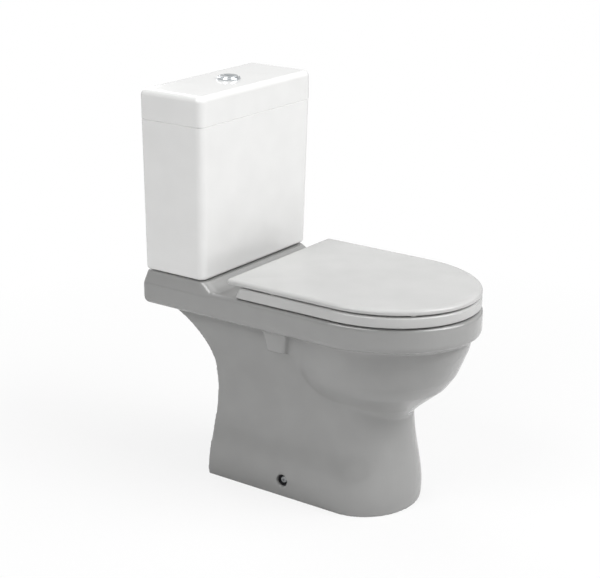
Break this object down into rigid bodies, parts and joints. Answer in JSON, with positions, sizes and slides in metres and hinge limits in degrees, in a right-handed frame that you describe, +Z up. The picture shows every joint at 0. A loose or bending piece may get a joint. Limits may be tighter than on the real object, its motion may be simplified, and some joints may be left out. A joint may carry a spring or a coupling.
{
  "type": "toilet",
  "caption": "Close-coupled toilet: floor-standing pan with an open arched pedestal, box cistern with a dual-flush button, and a hinged seat and lid.",
  "frame": {"origin": "on the floor, under the centre of the whole toilet's bounding box", "axes": "+Z up, -Y towards the rim's front, +Y towards the wall behind the cistern, +X to the toilet's left side as its user sits (the right-hand side of the view from the front)"},
  "size_m": [0.357, 0.648, 0.797],
  "materials": {
    "pan_glaze": "gloss",
    "cistern_glaze": "gloss",
    "seat_plastic": "gloss",
    "buffer_rubber": "matte",
    "hinge_metal": "polished",
    "bush_plastic": "matte",
    "nut_plastic": "matte",
    "button_chrome": "polished",
    "spring_steel": "drawn",
    "fixing_steel": "satin",
    "valve_plastic": "matte",
    "lever_plastic": "matte",
    "float_plastic": "matte",
    "seal_rubber": "matte",
    "bracket_plastic": "matte"
  },
  "bodies": {
    "fixed": {"pan": "pan_glaze", "cistern_tank": "cistern_glaze", "cistern_lid": "cistern_glaze", "button_bezel": "button_chrome", "bezel_nut": "nut_plastic", "full_button_spring": "spring_steel", "half_button_spring": "spring_steel", "flush_valve_base": "valve_plastic", "flush_valve_washer": "seal_rubber", "flush_valve_backnut": "nut_plastic", "coupling_seal": "seal_rubber", "flush_valve_tower": "valve_plastic", "rocker_frame": "lever_plastic", "rocker_axles": "fixing_steel", "fill_valve_body": "valve_plastic", "fill_valve_washer": "seal_rubber", "fill_valve_nut": "nut_plastic", "lever_pin": "fixing_steel", "coupling_bolts": "fixing_steel", "coupling_cone_washers": "seal_rubber", "coupling_plate_washers": "fixing_steel", "coupling_wing_nuts": "fixing_steel", "hinge_posts": "hinge_metal", "hinge_pins": "hinge_metal", "hinge_gaskets": "seal_rubber", "hinge_studs": "hinge_metal", "hinge_cone_washers": "nut_plastic", "hinge_wing_nuts": "nut_plastic", "floor_brackets": "bracket_plastic", "side_screws": "fixing_steel", "side_screw_washers": "bracket_plastic"},
    "seat": {"seat_ring": "seat_plastic", "seat_buffers": "buffer_rubber", "ring_hinge_bushes": "bush_plastic"},
    "lid": {"seat_lid": "seat_plastic", "lid_buffers": "buffer_rubber", "lid_hinge_bushes": "bush_plastic"},
    "full_button": {"full_flush_button": "button_chrome", "full_push_rod": "valve_plastic"},
    "half_button": {"half_flush_button": "button_chrome", "half_push_rod": "valve_plastic"},
    "full_rocker": {"full_flush_rocker": "lever_plastic"},
    "half_rocker": {"half_flush_rocker": "lever_plastic"},
    "flush_lift": {"overflow_tube": "valve_plastic", "flush_seal": "seal_rubber", "lift_yoke": "lever_plastic"},
    "half_lift": {"half_flush_rod": "valve_plastic", "half_flush_float": "float_plastic"},
    "fill_float": {"fill_float": "float_plastic", "fill_float_rod": "valve_plastic"},
    "lever": {"float_lever": "lever_plastic"}
  },
  "joints": [
    {"name": "seat_hinge", "type": "hinge", "parent": "fixed", "child": "seat", "pos_m": [0, 0.102, 0.43], "axis": [-1, 0, 0], "range_deg": [0, 96.5]},
    {"name": "lid_hinge", "type": "hinge", "parent": "seat", "child": "lid", "pos_m": [0, 0.102, 0.43], "axis": [1, 0, 0], "range_deg": [-96.5, 0]},
    {"name": "full_flush", "type": "slide", "parent": "fixed", "child": "full_button", "axis": [0, 0, -1], "range_m": [0, 0.007], "stiffness_N_per_m": 400, "springref_m": -0.004, "deforming": ["full_button_spring"]},
    {"name": "half_flush", "type": "slide", "parent": "fixed", "child": "half_button", "axis": [0, 0, -1], "range_m": [0, 0.007], "stiffness_N_per_m": 400, "springref_m": -0.004, "deforming": ["half_button_spring"]},
    {"name": "full_rocker_pivot", "type": "hinge", "parent": "fixed", "child": "full_rocker", "pos_m": [-0.022, 0.24, 0.704], "axis": [0, 1, 0], "range_deg": [0, 31]},
    {"name": "half_rocker_pivot", "type": "hinge", "parent": "fixed", "child": "half_rocker", "pos_m": [0.022, 0.24, 0.704], "axis": [0, -1, 0], "range_deg": [0, 31]},
    {"name": "flush_lift_slide", "type": "slide", "parent": "fixed", "child": "flush_lift", "axis": [0, 0, 1], "range_m": [0, 0.0119]},
    {"name": "half_lift_slide", "type": "slide", "parent": "fixed", "child": "half_lift", "axis": [0, 0, 1], "range_m": [0, 0.0119]},
    {"name": "fill_float_slide", "type": "slide", "parent": "fixed", "child": "fill_float", "axis": [0, 0, 1], "range_m": [0, 0.014]},
    {"name": "float_lever_pivot", "type": "hinge", "parent": "fixed", "child": "lever", "pos_m": [0.119, 0.217, 0.7], "axis": [0, 1, 0], "range_deg": [0, 29]}
  ],
  "couplings": [
    {"joint": "full_rocker_pivot", "follows": "full_flush", "rad_per_m": 76.923},
    {"joint": "half_rocker_pivot", "follows": "half_flush", "rad_per_m": 76.923},
    {"joint": "flush_lift_slide", "follows": "full_flush", "ratio": 1.6923},
    {"joint": "half_lift_slide", "follows": "half_flush", "ratio": 1.6923},
    {"joint": "float_lever_pivot", "follows": "fill_float_slide", "rad_per_m": 35.714}
  ]
}
